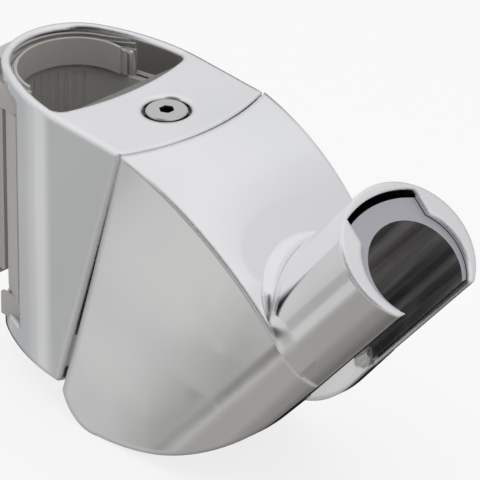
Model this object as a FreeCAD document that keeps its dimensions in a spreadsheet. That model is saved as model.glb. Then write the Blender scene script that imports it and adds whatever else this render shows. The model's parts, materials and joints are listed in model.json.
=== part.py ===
import FreeCAD, Part
import math
import os
import Sketcher
from FreeCAD import Placement, Rotation, Vector

doc = FreeCAD.newDocument("RailSlider")

# Driving sizes in millimetres and degrees.
# Depths run forward from the rail's axis, towards the handset cradle, which is -Y.
# Heights are above or below the middle of the slider body, and +Z runs up the rail.
SIZES = [
    ("rail_radius", 12.5, "rail that the slider rides on"),
    ("rail_clearance", 0.1, "gap between the rail and the guide rings"),
    ("body_height", 66.0, "slider body, top face to bottom edge"),
    ("side_room", 7.9, "rings' bore to a straight side"),
    ("shoulder_depth", 18.0, "where a curved side becomes straight"),
    ("roof_length", 23.8, "rail opening to the middle of the seam, at the top"),
    ("seam_radius", 49.0, "curve of the seam, seen from above"),
    ("seam_lean", 17.6, "lean of the seam, its foot towards the rail"),
    ("body_wall", 2.0, "casting wall of the slider body"),
    ("roof_thickness", 3.0, "roof in front of the rail opening"),
    ("opening_room", 6.0, "rings' bore to the rail opening's front edge"),
    ("opening_radius", 55.6, "curve of that front edge"),
    ("opening_corner", 3.0, "rounding of the opening's front corners"),
    ("rim_round", 0.9, "rounding of the body's top edges"),
    ("window_top_band", 4.0, "band left over the rear window"),
    ("window_bottom_band", 5.0, "band left under the rear window"),
    ("window_side_depth", 1.0, "where the window stops on each side"),
    ("ring_wall", 1.3, "guide ring, radially"),
    ("ring_height", 6.6, "guide ring, along the rail"),
    ("ring_inset", 2.4, "guide ring's end below the body's rim"),
    ("fit_gap", 0.1, "plastic inner parts to the casting"),
    ("collar_drop", 0.7, "guide ring's outer collar below its lip"),
    ("collar_reach", 1.2, "collar's ends in front of the lip's ends"),
    ("carrier_room", 5.0, "rings' bore to the rear face of the inner carrier"),
    ("ledge_reach", 4.7, "ledge behind the carrier's rear face, under the roof"),
    ("ledge_drop", 0.5, "ledge's top below the roof's underside"),
    ("ledge_thickness", 2.0, "ledge"),
    ("ledge_rail_gap", 0.4, "ledge to the rings' bore"),
    ("carrier_foot_gap", 0.6, "carrier's underside above the body's edge"),
    ("screw_setback", 12.4, "top screw behind the middle of the seam"),
    ("screw_head_radius", 4.6, "top screw's head"),
    ("screw_head_height", 2.0, "top screw's head"),
    ("screw_head_drop", 0.1, "head's top below the body's top face"),
    ("screw_radius", 2.5, "top screw's shank"),
    ("screw_length", 18.0, "top screw, under its head"),
    ("screw_socket_radius", 1.75, "corner radius of the hexagon socket"),
    ("screw_socket_depth", 1.4, "hexagon socket"),
    ("screw_chamfer", 0.35, "round the top of the screw's head"),
    ("head_gap", 0.7, "round the screw's head"),
    ("head_rim_round", 0.8, "rounding of the head's hole"),
    ("shank_gap", 0.3, "round the screw's shank"),
    ("washer_thickness", 0.3, "spring washer under the head"),
    ("insert_radius", 3.6, "threaded insert in the carrier"),
    ("insert_length", 12.0, "threaded insert in the carrier"),
    ("hinge_setback", 8.9, "hinge axis behind the middle of the seam"),
    ("hinge_drop", 7.0, "hinge axis below the body's top face"),
    ("hinge_radius", 2.0, "hinge pin"),
    ("hinge_play", 0.08, "lug's bore round the pin"),
    ("hinge_inner", 7.0, "hinge pin's inner end, from the mid-plane"),
    ("hinge_outer", 14.2, "hinge pin's outer end, from the mid-plane"),
    ("hinge_reach", 6.0, "pin's hole past the pin"),
    ("lug_inner", 9.3, "hinge lug's inner face, from the mid-plane"),
    ("lug_outer", 12.4, "hinge lug's outer face, from the mid-plane"),
    ("lug_radius", 3.6, "hinge lug round its pin"),
    ("lug_neck", 5.6, "height of a lug's neck"),
    ("lug_room", 0.6, "slot round a lug"),
    ("hinge_washer_thickness", 0.4, "friction washer beside a lug"),
    ("hinge_washer_radius", 3.3, "friction washer beside a lug"),
    ("toe_half_width", 3.0, "bracket's toe, from the mid-plane"),
    ("toe_height", -16.5, "middle of the toe"),
    ("toe_thickness", 5.0, "toe, top to bottom"),
    ("toe_room", 1.2, "slot above and below the toe"),
    ("toe_side_room", 0.5, "slot beside the toe"),
    ("toe_gap", 0.2, "between the toe and the brake shoe"),
    ("seam_gap", 0.6, "holder to body, at the top of the seam"),
    ("seam_opening", 1.1, "how much less the holder's edge leans"),
    ("bracket_gap", 1.2, "bracket's rear face behind the seam"),
    ("bracket_thickness", 3.0, "bracket's plate"),
    ("bracket_foot_rise", 8.0, "bracket's lower edge above the body's edge"),
    ("bracket_head_drop", 3.4, "bracket's upper edge below the body's top face"),
    ("plate_gap", 0.25, "bracket's plate to the holder casting"),
    ("holder_wall", 2.4, "wall of the holder casting"),
    ("cradle_reach", 63.65, "middle of the cradle's mouth in front of the seam"),
    ("cradle_drop", 1.5, "middle of the cradle's mouth below the top face"),
    ("cradle_tilt", 40.8, "cradle's axis, forward from upright"),
    ("tube_radius", 15.8, "cradle tube, outside"),
    ("tube_length", 44.0, "cradle tube, from mouth to inner end"),
    ("bore_radius", 12.6, "cradle's bore"),
    ("bore_drop", 2.8, "bore's centre, towards the slot"),
    ("keyway_half_width", 9.4, "pocket at the back of the bore"),
    ("keyway_shoulder", 11.5, "pocket's corners, from the tube's axis"),
    ("keyway_radius", 22.0, "pocket's back wall"),
    ("hood_start", 32.5, "where the hood leaves the tube"),
    ("hood_middle", 70.0, "middle section of the hood"),
    ("hood_end", 114.0, "last section of the hood"),
    ("hood_middle_radius", 18.1, "hood's underside, middle section"),
    ("hood_end_radius", 20.7, "hood's underside, last section"),
    ("hood_side", 54.0, "height of the hood's sides over the axis"),
    ("hood_start_bow", 350.0, "bow of the sides, first section"),
    ("hood_middle_bow", 800.0, "bow of the sides, middle section"),
    ("hood_end_bow", 2500.0, "bow of the sides, last section"),
    ("ridge_slope", 10.6, "fall of the holder's top where it leaves the seam"),
    ("ridge_radius", 65.0, "curve of the holder's top, seen from the side"),
    ("ridge_fall", 57.0, "fall of the holder's top where it meets the tube"),
    ("lip_reach", 36.6, "lower end of the straight slot edge, in front of the seam"),
    ("lip_drop", 50.3, "lower end of the straight slot edge, below the top face"),
    ("lip_angle", 48.9, "slope of the straight slot edge"),
    ("belly_radius", 69.1, "underside, from the slot to its lowest point"),
    ("belly_setback", 12.4, "lowest point of the underside, behind the seam's middle"),
    ("belly_drop", 8.2, "lowest point of the underside, below the body's edge"),
    ("heel_radius", 9.5, "corner between the underside and the seam"),
    ("heel_setback", 3.16, "top of that corner, behind the seam's foot"),
    ("seat_gap", 0.12, "seat liner to the casting"),
    ("seat_radius", 11.0, "seat liner's bore, for the handset's cone"),
    ("seat_drop", 3.8, "that bore's centre, towards the slot"),
    ("seat_sink", 1.2, "liner's end below the mouth"),
    ("seat_end_gap", 1.2, "liner's end to the retainer"),
    ("seat_slot_edge", 10.4, "liner's slot edge, from the tube's axis"),
    ("seat_back_gap", 1.6, "liner's back to the back of its pocket"),
    ("retainer_length", 4.5, "retainer under the liner"),
    ("retainer_radius", 9.6, "retainer's opening"),
    ("retainer_slot_edge", 7.8, "retainer's slot edge, from the tube's axis"),
    ("retainer_lap", 0.5, "retainer past the bore"),
    ("skin_inset", 0.8, "release's outer skin inside the body's outline"),
    ("pin_skin_room", 2.0, "skin's front edge behind the window's edge"),
    ("arm_gap", 0.35, "release's arms to the casting"),
    ("arm_thickness", 1.5, "yoke arm"),
    ("arm_room", 2.4, "rings' bore to the front ends of the arms"),
    ("pad_gap", 1.5, "fluted pad behind the rings' bore"),
    ("pad_half_width", 10.4, "fluted pad"),
    ("yoke_gap", 0.6, "yoke to the guide rings, along the rail"),
    ("flute_radius", 0.5, "upright flute in the yoke's inner face"),
    ("flute_sink", 0.25, "flute's depth"),
    ("flute_end", 2.0, "flutes stop short of the yoke's ends"),
    ("flute_count", 13, "flutes"),
    ("flute_step", 8.0, "degrees from flute to flute"),
    ("grip_neck_half_width", 9.0, "web that carries the grip"),
    ("grip_neck_length", 2.0, "web behind the body's rear"),
    ("grip_half_width", 10.5, "grip pad"),
    ("grip_thickness", 4.0, "grip pad, at its middle"),
    ("grip_edge", 1.0, "grip pad, at its sides"),
    ("grip_radius", 19.0, "curve of the grip pad's rear face"),
    ("grip_window_gap", 1.5, "grip pad to the window's ends"),
    ("rib_count", 6, "finger ribs"),
    ("rib_pitch", 3.0, "finger ribs"),
    ("rib_radius", 0.7, "finger ribs"),
    ("rib_half_width", 6.8, "finger ribs"),
    ("rib_sink", 0.5, "middle of a rib inside the grip's rear face"),
    ("shoe_room", 3.0, "rings' bore to the brake shoe's front face"),
    ("shoe_side_gap", 0.1, "brake shoe to the yoke's arms"),
        ("shoe_top", 14.0, "brake shoe"),
    ("shoe_bottom", -20.5, "brake shoe"),
    ("lining_half_width", 9.0, "brake lining"),
    ("lining_thickness", 0.9, "brake lining"),
    ("lining_edge", 1.5, "shoe's edge above and below its lining"),
    ("yoke_pin_radius", 0.8, "pin through arm and shoe"),
    ("yoke_pin_length", 4.0, "pin through arm and shoe"),
    ("spring_half_width", 4.0, "brake spring, a bow of flat strip"),
    ("spring_strip", 0.4, "brake spring's strip"),
    ("spring_breadth", 5.0, "brake spring, along the rail"),
    ("spring_offset", 8.0, "brake spring, from the mid-plane"),
    ("spring_height", 4.0, "brake spring, above the body's middle"),
    ("spring_length", 6.0, "brake spring, from the shoe to its pocket's end"),
    ("spring_pocket_gap", 0.5, "pocket round the spring"),
    ("boss_offset", 14.4, "bracket screw, from the mid-plane"),
    ("boss_height", 4.0, "bracket screw"),
    ("boss_radius", 3.2, "boss in the holder casting"),
    ("boss_length", 9.0, "boss in the holder casting"),
    ("bracket_screw_radius", 1.45, "bracket screw's shank"),
    ("bracket_screw_head", 2.5, "bracket screw's head"),
    ("bracket_screw_head_height", 1.4, "bracket screw's head"),
    ("bracket_screw_length", 8.0, "bracket screw, under its head"),
    ("bracket_screw_floor", 0.8, "bracket's plate left under a screw's head"),
]

sheet = doc.addObject("Spreadsheet::Sheet", "Sizes")
for row, (alias, value, meaning) in enumerate(SIZES, 1):
    sheet.set("A%d" % row, alias)
    sheet.set("B%d" % row, str(value))
    sheet.set("C%d" % row, meaning)
    sheet.setAlias("B%d" % row, alias)
doc.recompute()


class Size:
    """A number together with the sheet formula that gives it."""

    def __init__(self, value, formula=None):
        self.value = float(value)
        self.formula = formula or "%r" % self.value

    def __add__(self, other):
        other = as_size(other)
        return Size(self.value + other.value, "(%s + %s)" % (self.formula, other.formula))

    def __sub__(self, other):
        other = as_size(other)
        return Size(self.value - other.value, "(%s - %s)" % (self.formula, other.formula))

    def __mul__(self, other):
        other = as_size(other)
        return Size(self.value * other.value, "(%s * %s)" % (self.formula, other.formula))

    def __truediv__(self, other):
        other = as_size(other)
        return Size(self.value / other.value, "(%s / %s)" % (self.formula, other.formula))

    def __neg__(self):
        return Size(-self.value, "(0 - %s)" % self.formula)


def as_size(thing):
    return thing if isinstance(thing, Size) else Size(thing)


def sized(alias):
    return Size(float(getattr(sheet, alias)), "Sizes." + alias)


def root(size):
    return Size(math.sqrt(size.value), "sqrt(%s)" % size.formula)


def sine(angle):
    return Size(math.sin(math.radians(angle.value)), "sin(%s * 1 deg)" % angle.formula)


def cosine(angle):
    return Size(math.cos(math.radians(angle.value)), "cos(%s * 1 deg)" % angle.formula)


# Heights, depths and radii that follow from the driving sizes
rim = sized("body_height") / 2
roof_underside = rim - sized("roof_thickness")
window_top = rim - sized("window_top_band")
window_foot = sized("window_bottom_band") - rim
ring_bore = sized("rail_radius") + sized("rail_clearance")
ring_top = rim - sized("ring_inset")
ring_foot = ring_top - sized("ring_height")
half_width = ring_bore + sized("side_room")
body_rear = ring_bore + sized("ring_wall") + sized("fit_gap") + sized("body_wall")
opening_depth = ring_bore + sized("opening_room")
nose = opening_depth + sized("roof_length")
carrier_depth = ring_bore + sized("carrier_room")
hinge_depth = nose - sized("hinge_setback")
hinge_height = rim - sized("hinge_drop")
screw_depth = nose - sized("screw_setback")
lean = sized("seam_lean")

# Main planes: each one's own across and up, and the way its normal points
TURNS = {
    "XY": Rotation(),
    "XZ": Rotation(Vector(1, 0, 0), 90),
    "YZ": Rotation(Vector(1, 1, 1), 120),
}
NORMALS = {"XY": Vector(0, 0, 1), "XZ": Vector(0, -1, 0), "YZ": Vector(1, 0, 0)}


def bind(thing, field, size):
    """Sets a size on an object and ties it to the sheet."""
    setattr(thing, field, size.value)
    thing.setExpression(field, size.formula)


def pin_corner(page, geo, end, place):
    """Holds one end of a side at its place, by two dimensions from the sketch's origin."""
    for kind, size in zip(("DistanceX", "DistanceY"), place):
        if abs(size.value) < 1e-9:
            axis = -2 if kind == "DistanceX" else -1
            page.addConstraint(Sketcher.Constraint("PointOnObject", geo, end, axis))
            continue
        index = page.addConstraint(Sketcher.Constraint(kind, -1, 1, geo, end, size.value))
        page.setExpression("Constraints[%d]" % index, size.formula)


def draw(page, corners):
    """A closed outline, anticlockwise. A corner is (across, up) or (across, up, radius).

    A radius bends the side that leaves the corner: outwards if it is positive, inwards if not.
    """
    places = [(as_size(corner[0]), as_size(corner[1])) for corner in corners]
    ends = []
    for number, corner in enumerate(corners):
        here = places[number]
        there = places[(number + 1) % len(corners)]
        start = Vector(here[0].value, here[1].value, 0)
        finish = Vector(there[0].value, there[1].value, 0)
        if len(corner) == 2:
            geo = page.addGeometry(Part.LineSegment(start, finish), False)
            ends.append((geo, 1, 2))
            continue
        radius = as_size(corner[2])
        chord = finish - start
        side = Vector(-chord.y, chord.x, 0).normalize()
        reach = math.sqrt(max(radius.value ** 2 - chord.Length ** 2 / 4, 0.0))
        outward = radius.value > 0
        centre = (start + finish) * 0.5 + side * (reach if outward else -reach)
        first, last = (start, finish) if outward else (finish, start)
        angles = [math.atan2(end.y - centre.y, end.x - centre.x) for end in (first, last)]
        if angles[1] < angles[0]:
            angles[1] += 2 * math.pi
        circle = Part.Circle(centre, Vector(0, 0, 1), abs(radius.value))
        geo = page.addGeometry(Part.ArcOfCircle(circle, angles[0], angles[1]), False)
        ends.append((geo, 1, 2) if outward else (geo, 2, 1))
        bend = radius if outward else -radius
        index = page.addConstraint(Sketcher.Constraint("Radius", geo, bend.value))
        page.setExpression("Constraints[%d]" % index, bend.formula)
    for number, (geo, start_end, finish_end) in enumerate(ends):
        following = ends[(number + 1) % len(ends)]
        page.addConstraint(
            Sketcher.Constraint("Coincident", geo, finish_end, following[0], following[1])
        )
        pin_corner(page, geo, start_end, places[number])
    return page


def page_on(name, plane, along=0):
    """A sketch page on a main plane, moved along that plane's normal."""
    page = doc.addObject("Sketcher::SketchObject", name)
    shift = NORMALS[plane] * as_size(along).value
    page.Placement = Placement(shift, TURNS[plane])
    return page


def outline(name, plane, corners, along=0):
    return draw(page_on(name, plane, along), corners)


def disc(name, centre, radius, along=0):
    """A circle on a level page."""
    page = page_on(name, "XY", along)
    place = [as_size(size) for size in centre]
    middle = Vector(place[0].value, place[1].value, 0)
    geo = page.addGeometry(Part.Circle(middle, Vector(0, 0, 1), radius.value), False)
    pin_corner(page, geo, 3, place)
    index = page.addConstraint(Sketcher.Constraint("Radius", geo, radius.value))
    page.setExpression("Constraints[%d]" % index, radius.formula)
    return page


def extrude(name, page, length, way=None):
    """A solid from a sketch, along its normal or along a given way."""
    solid = doc.addObject("Part::Extrusion", name)
    solid.Base = page
    solid.Solid = True
    solid.DirMode = "Normal" if way is None else "Custom"
    if way is not None:
        solid.Dir = way
    bind(solid, "LengthFwd", as_size(length))
    return solid


def block(name, low, high):
    """A box between two corners."""
    solid = doc.addObject("Part::Box", name)
    for field, least, most in zip(("Length", "Width", "Height"), low, high):
        bind(solid, field, as_size(most) - as_size(least))
    for axis, least in zip("xyz", low):
        solid.setExpression("Placement.Base." + axis, as_size(least).formula)
    return solid


def rod(name, radius, length, base, way="Z"):
    """A cylinder that starts at base and runs along a main direction."""
    turn = {
        "Z": Rotation(),
        "X": Rotation(Vector(0, 1, 0), 90),
        "-Y": Rotation(Vector(1, 0, 0), 90),
    }[way]
    solid = doc.addObject("Part::Cylinder", name)
    bind(solid, "Radius", as_size(radius))
    bind(solid, "Height", as_size(length))
    solid.Placement = Placement(Vector(*[as_size(size).value for size in base]), turn)
    for axis, size in zip("xyz", base):
        solid.setExpression("Placement.Base." + axis, as_size(size).formula)
    return solid


def cut(name, base, *tools):
    tool = tools[0] if len(tools) == 1 else fuse(name + "_tools", *tools)
    result = doc.addObject("Part::Cut", name)
    result.Base = base
    result.Tool = tool
    return result


def common(name, first, second):
    result = doc.addObject("Part::Common", name)
    result.Base = first
    result.Tool = second
    return result


def fuse(name, *pieces):
    result = doc.addObject("Part::MultiFuse", name)
    result.Shapes = list(pieces)
    result.Refine = True
    return result


def mirrored(name, piece):
    """The same piece on the other side of the mid-plane."""
    other = doc.addObject("Part::Mirroring", name)
    other.Source = piece
    other.Base = Vector(0, 0, 0)
    other.Normal = Vector(1, 0, 0)
    return other


def pair(name, piece):
    """Two like pieces, left and right of the mid-plane, kept as separate solids."""
    both = doc.addObject("Part::Compound", name)
    both.Links = [piece, mirrored(name + "_left", piece)]
    return both


def turned(name, corners, place, turn):
    """A turned piece: its half section is (radius, along), and it revolves round its axis."""
    body = doc.addObject("PartDesign::Body", name)
    plane = [item for item in body.Origin.OriginFeatures if item.Role == "XZ_Plane"][0]
    page = body.newObject("Sketcher::SketchObject", name + "_section")
    page.AttachmentSupport = [(plane, "")]
    page.MapMode = "FlatFace"
    draw(page, corners)
    turning = body.newObject("PartDesign::Revolution", name + "_turning")
    turning.Profile = page
    turning.ReferenceAxis = (page, ["V_Axis"])
    turning.Angle = 360.0
    body.Tip = turning
    body.Placement = Placement(Vector(*[as_size(size).value for size in place]), turn)
    return body


def rounded(name, piece, radius, chosen):
    """Rounds the edges whose middle point passes a test."""
    doc.recompute()
    edges = []
    for number, edge in enumerate(piece.Shape.Edges, 1):
        middle = edge.valueAt((edge.FirstParameter + edge.LastParameter) / 2)
        if chosen(middle, edge):
            edges.append((number, as_size(radius).value, as_size(radius).value))
    result = doc.addObject("Part::Fillet", name)
    result.Base = piece
    result.Edges = edges
    return result


parts = {}


def finish(name, piece):
    """Gives a finished piece the name of its file."""
    piece.Label = name
    parts[name] = piece
    return piece


# Spare length of the solids that cut or bound others
PLAN_SPARE = 4
SPARE = 1
FAR = 30


# Plan outline of the slider body and of everything that follows its walls
def plan_corners(inset):
    """The body's outline from above, drawn in by an inset, with an open straight front."""
    shoulder = sized("shoulder_depth")
    side_curve = (half_width * half_width + shoulder * shoulder - body_rear * body_rear) / (
        (half_width - body_rear) * 2
    )
    side_centre = side_curve - half_width
    reach = side_curve - body_rear
    rear = body_rear - inset
    half = half_width - inset
    meet = (side_centre * rear / reach, shoulder * rear / reach)
    front = nose + PLAN_SPARE
    return [
        (half, -front),
        (half, -shoulder, side_curve - inset),
        (meet[0], meet[1], rear),
        (0, rear, rear),
        (-meet[0], meet[1], side_curve - inset),
        (-half, -shoulder),
        (-half, -front),
    ]


def plan_prism(name, inset, foot, head):
    page = outline(name + "_plan", "XY", plan_corners(as_size(inset)), foot)
    return extrude(name, page, as_size(head) - foot)


def leaning_drum(name, reach, radius, lean_angle):
    """A tall drum whose front follows the seam: reach and radius are taken at the rim."""
    top = rim + FAR
    slant = sine(lean_angle) / cosine(lean_angle)
    page = disc(name + "_plan", (0, radius - reach - slant * FAR), radius, top)
    way = Vector(0, sine(lean_angle).value, -cosine(lean_angle).value)
    return extrude(name, page, (top + rim + FAR) / cosine(lean_angle), way)


# Slider body: a chromed zinc casting, open below, with a rear window
seam_radius = sized("seam_radius")
wall = sized("body_wall")
body_skin = common(
    "body_skin",
    plan_prism("body_prism", 0, -rim, rim),
    leaning_drum("body_front", nose, seam_radius, lean),
)
body_hollow = common(
    "body_hollow",
    plan_prism("hollow_prism", wall, -rim - 1, roof_underside),
    leaning_drum("hollow_front", nose - wall, seam_radius - wall, lean),
)
opening_page = disc(
    "opening_edge",
    (0, sized("opening_radius") - opening_depth),
    sized("opening_radius"),
    roof_underside - SPARE,
)
opening_prism = common(
    "opening_prism",
    plan_prism("opening_plan", wall, roof_underside - SPARE, rim + SPARE),
    extrude("opening_drum", opening_page, sized("roof_thickness") + SPARE * 2),
)
roof_middle = (roof_underside + rim).value / 2
rail_opening = rounded(
    "rail_opening",
    opening_prism,
    sized("opening_corner"),
    lambda middle, edge: abs(middle.z - roof_middle) < 0.1 and middle.y < -ring_bore.value,
)
rear_reach = body_rear + FAR
rear_window = block(
    "rear_window",
    (-rear_reach, -sized("window_side_depth"), window_foot),
    (rear_reach, rear_reach, window_top),
)
screw_spot = (0, -screw_depth)
head_foot = rim - sized("screw_head_drop") - sized("screw_head_height")
washer_foot = head_foot - sized("washer_thickness")
head_hole = sized("screw_head_radius") + sized("head_gap")
shank_hole = sized("screw_radius") + sized("shank_gap")
head_room = rod("head_room", head_hole, rim - washer_foot + SPARE, screw_spot + (washer_foot,))
shank_room = rod(
    "shank_room",
    shank_hole,
    sized("roof_thickness") + SPARE * 2,
    screw_spot + (roof_underside - SPARE,),
)
lug_slot = block(
    "lug_slot",
    (
        sized("lug_inner") - sized("lug_room"),
        -(nose + 2),
        hinge_height - sized("lug_neck") / 2 - sized("lug_room"),
    ),
    (
        sized("lug_outer") + sized("lug_room"),
        -hinge_depth,
        hinge_height + sized("lug_neck") / 2 + sized("lug_room"),
    ),
)
toe_slot = block(
    "toe_slot",
    (
        -(sized("toe_half_width") + sized("toe_side_room")),
        -nose,
        sized("toe_height") - sized("toe_thickness") / 2 - sized("toe_room"),
    ),
    (
        sized("toe_half_width") + sized("toe_side_room"),
        -(carrier_depth - 2),
        sized("toe_height") + sized("toe_thickness") / 2 + sized("toe_room"),
    ),
)
roof_cut = cut("roof_cut", body_skin, body_hollow, rail_opening, head_room, shank_room)


def on_the_rim(middle, edge):
    """The outer edges of the top face and the rail opening's edges, but not the seam."""
    across = math.hypot(middle.x, middle.y - (seam_radius - nose).value)
    on_top = abs(middle.z - rim.value) < 0.01
    at_screw = math.hypot(middle.x, middle.y + screw_depth.value) < head_hole.value + 0.5
    return on_top and across < seam_radius.value - 0.5 and not at_screw


def round_the_screw(middle, edge):
    return abs(middle.z - rim.value) < 0.01 and edge.Curve.TypeId == "Part::GeomCircle" and (
        abs(edge.Curve.Radius - head_hole.value) < 0.01
    )


rim_rounded = rounded("rim_rounded", roof_cut, sized("rim_round"), on_the_rim)
roof_rounded = rounded("roof_rounded", rim_rounded, sized("head_rim_round"), round_the_screw)
slider_body = finish(
    "slider_body",
    cut(
        "slider_body_casting",
        roof_rounded,
        rear_window,
        lug_slot,
        mirrored("lug_slot_left", lug_slot),
        toe_slot,
    ),
)


# Guide rings: stepped half rings of acetal that line the two bands behind the rail
def guide_ring(name, foot, collar_foot):
    """A ring's lip runs its whole height, and the collar outside it stops short at one end."""
    rear = ring_bore + sized("ring_wall")
    middle = ring_bore + sized("ring_wall") / 2
    reach = sized("collar_reach")
    lip = outline(
        name + "_lip_plan",
        "XY",
        [
            (middle, 0, middle),
            (0, middle, middle),
            (-middle, 0),
            (-ring_bore, 0, -ring_bore),
            (0, ring_bore, -ring_bore),
            (ring_bore, 0),
        ],
        foot,
    )
    collar = outline(
        name + "_collar_plan",
        "XY",
        [
            (rear, -reach),
            (rear, 0, rear),
            (0, rear, rear),
            (-rear, 0),
            (-rear, -reach),
            (-middle, -reach),
            (-middle, 0, -middle),
            (0, middle, -middle),
            (middle, 0),
            (middle, -reach),
        ],
        collar_foot,
    )
    return fuse(
        name + "_ring",
        extrude(name + "_lip", lip, sized("ring_height")),
        extrude(name + "_collar", collar, sized("ring_height") - sized("collar_drop")),
    )


finish("upper_guide_ring", guide_ring("upper", ring_foot, ring_foot))
finish("lower_guide_ring", guide_ring("lower", -ring_top, sized("collar_drop") - ring_top))

# Inner carrier: a moulded block that fills the body's front and holds the mechanism
inset = wall + sized("fit_gap")
carrier_block = common(
    "carrier_block",
    plan_prism("carrier_prism", inset, sized("carrier_foot_gap") - rim, roof_underside),
    leaning_drum("carrier_front", nose - inset, seam_radius - inset, lean),
)
ledge_foot = roof_underside - sized("ledge_drop") - sized("ledge_thickness")
behind_carrier = fuse(
    "behind_carrier",
    block(
        "under_the_ledge",
        (-rear_reach, -carrier_depth, -rim - SPARE),
        (rear_reach, rear_reach, ledge_foot),
    ),
    block(
        "behind_the_ledge",
        (-rear_reach, sized("ledge_reach") - carrier_depth, -rim - SPARE),
        (rear_reach, rear_reach, rim),
    ),
    block(
        "over_the_ledge",
        (-rear_reach, -carrier_depth, roof_underside - sized("ledge_drop")),
        (rear_reach, rear_reach, rim),
    ),
    rod("rail_way", ring_bore + sized("ledge_rail_gap"), rim * 2, (0, 0, -rim)),
)
insert_foot = roof_underside - sized("insert_length")
screw_foot = head_foot - sized("screw_length")
insert_room = rod(
    "insert_room", sized("insert_radius"), sized("insert_length") + 1, screw_spot + (insert_foot,)
)
screw_room = rod(
    "screw_room",
    shank_hole,
    roof_underside - screw_foot + SPARE * 2,
    screw_spot + (screw_foot - SPARE,),
)
lug_room = block(
    "lug_room",
    (
        sized("lug_inner") - sized("lug_room"),
        -(nose + 2),
        hinge_height - sized("lug_radius") - sized("lug_room"),
    ),
    (
        sized("lug_outer") + sized("lug_room"),
        -(hinge_depth - sized("lug_radius") - sized("lug_room")),
        roof_underside + 1,
    ),
)
pin_room = rod(
    "pin_room",
    sized("hinge_radius"),
    sized("hinge_outer") + sized("hinge_reach") - sized("hinge_inner"),
    (sized("hinge_inner"), -hinge_depth, hinge_height),
    "X",
)
shoe_front = ring_bore + sized("shoe_room")
spring_end = shoe_front + sized("spring_length")
pocket_gap = sized("spring_pocket_gap")
spring_room = block(
    "spring_room",
    (
        sized("spring_offset") - sized("spring_half_width") - pocket_gap,
        -spring_end,
        sized("spring_height") - sized("spring_breadth") / 2 - pocket_gap,
    ),
    (
        sized("spring_offset") + sized("spring_half_width") + pocket_gap,
        -(carrier_depth - SPARE),
        sized("spring_height") + sized("spring_breadth") / 2 + pocket_gap,
    ),
)
inner_carrier = finish(
    "inner_carrier",
    cut(
        "inner_carrier_moulding",
        carrier_block,
        behind_carrier,
        insert_room,
        screw_room,
        lug_room,
        mirrored("lug_room_left", lug_room),
        pin_room,
        mirrored("pin_room_left", pin_room),
        spring_room,
        mirrored("spring_room_left", spring_room),
        toe_slot,
    ),
)

# Top screw: a low-headed machine screw with a hexagon socket
upright = Rotation()
head_height = sized("screw_head_height")
head_radius = sized("screw_head_radius")
chamfer = sized("screw_chamfer")
screw_blank = turned(
    "top_screw_blank",
    [
        (0, -sized("screw_length")),
        (sized("screw_radius"), -sized("screw_length")),
        (sized("screw_radius"), 0),
        (head_radius, 0),
        (head_radius, head_height - chamfer),
        (head_radius - chamfer, head_height),
        (0, head_height),
    ],
    screw_spot + (head_foot,),
    upright,
)
socket_foot = rim - sized("screw_head_drop") - sized("screw_socket_depth")
hexagon = page_on("screw_socket_plan", "XY", socket_foot)
socket_radius = sized("screw_socket_radius")
draw(
    hexagon,
    [
        (
            socket_radius * cosine(Size(60 * side)),
            socket_radius * sine(Size(60 * side)) - screw_depth,
        )
        for side in range(6)
    ],
)
socket = extrude("screw_socket", hexagon, sized("screw_socket_depth") + SPARE)
finish("top_screw", cut("top_screw_cut", screw_blank, socket))

finish(
    "screw_washer",
    turned(
        "screw_washer_ring",
        [
            (shank_hole, 0),
            (head_radius + sized("shank_gap"), 0),
            (head_radius + sized("shank_gap"), sized("washer_thickness")),
            (shank_hole, sized("washer_thickness")),
        ],
        screw_spot + (washer_foot,),
        upright,
    ),
)

finish(
    "screw_insert",
    turned(
        "screw_insert_ring",
        [
            (sized("screw_radius"), 0),
            (sized("insert_radius"), 0),
            (sized("insert_radius"), sized("insert_length")),
            (sized("screw_radius"), sized("insert_length")),
        ],
        screw_spot + (insert_foot,),
        upright,
    ),
)

# Hinge: two stub pins in the carrier's cheeks, with a friction washer beside each lug
finish(
    "hinge_pins",
    pair(
        "hinge_pin_pair",
        rod(
            "hinge_pin",
            sized("hinge_radius"),
            sized("hinge_outer") - sized("hinge_inner"),
            (sized("hinge_inner"), -hinge_depth, hinge_height),
            "X",
        ),
    ),
)
washer_inner = sized("lug_inner") - sized("hinge_washer_thickness") - 0.1
washer_disc = rod(
    "hinge_washer_disc",
    sized("hinge_washer_radius"),
    sized("hinge_washer_thickness"),
    (washer_inner, -hinge_depth, hinge_height),
    "X",
)
washer_hole = rod(
    "hinge_washer_hole",
    sized("hinge_radius"),
    sized("hinge_washer_thickness") + 2,
    (washer_inner - 1, -hinge_depth, hinge_height),
    "X",
)
finish("hinge_washers", pair("hinge_washer_pair", cut("hinge_washer", washer_disc, washer_hole)))


# Brake springs: two bows of flat strip that press the brake shoe onto the rail
spring_apex = -(shoe_front + sized("shoe_side_gap"))
bow_half = sized("spring_half_width")
bow_rise = sized("spring_length") - sized("shoe_side_gap")
strip = sized("spring_strip")


def bow_radius(half, rise):
    return (half * half + rise * rise) / (rise * 2)


bow_outer = bow_radius(bow_half, bow_rise)
bow_inner = bow_radius(bow_half - strip, bow_rise - strip)
middle = sized("spring_offset")
spring_page = outline(
    "spring_plan",
    "XY",
    [
        (middle + bow_half, -spring_end, bow_outer),
        (middle, spring_apex, bow_outer),
        (middle - bow_half, -spring_end),
        (middle - bow_half + strip, -spring_end, -bow_inner),
        (middle, spring_apex - strip, -bow_inner),
        (middle + bow_half - strip, -spring_end),
    ],
    sized("spring_height") - sized("spring_breadth") / 2,
)
finish(
    "brake_springs",
    pair("brake_spring_pair", extrude("brake_spring", spring_page, sized("spring_breadth"))),
)

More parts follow.
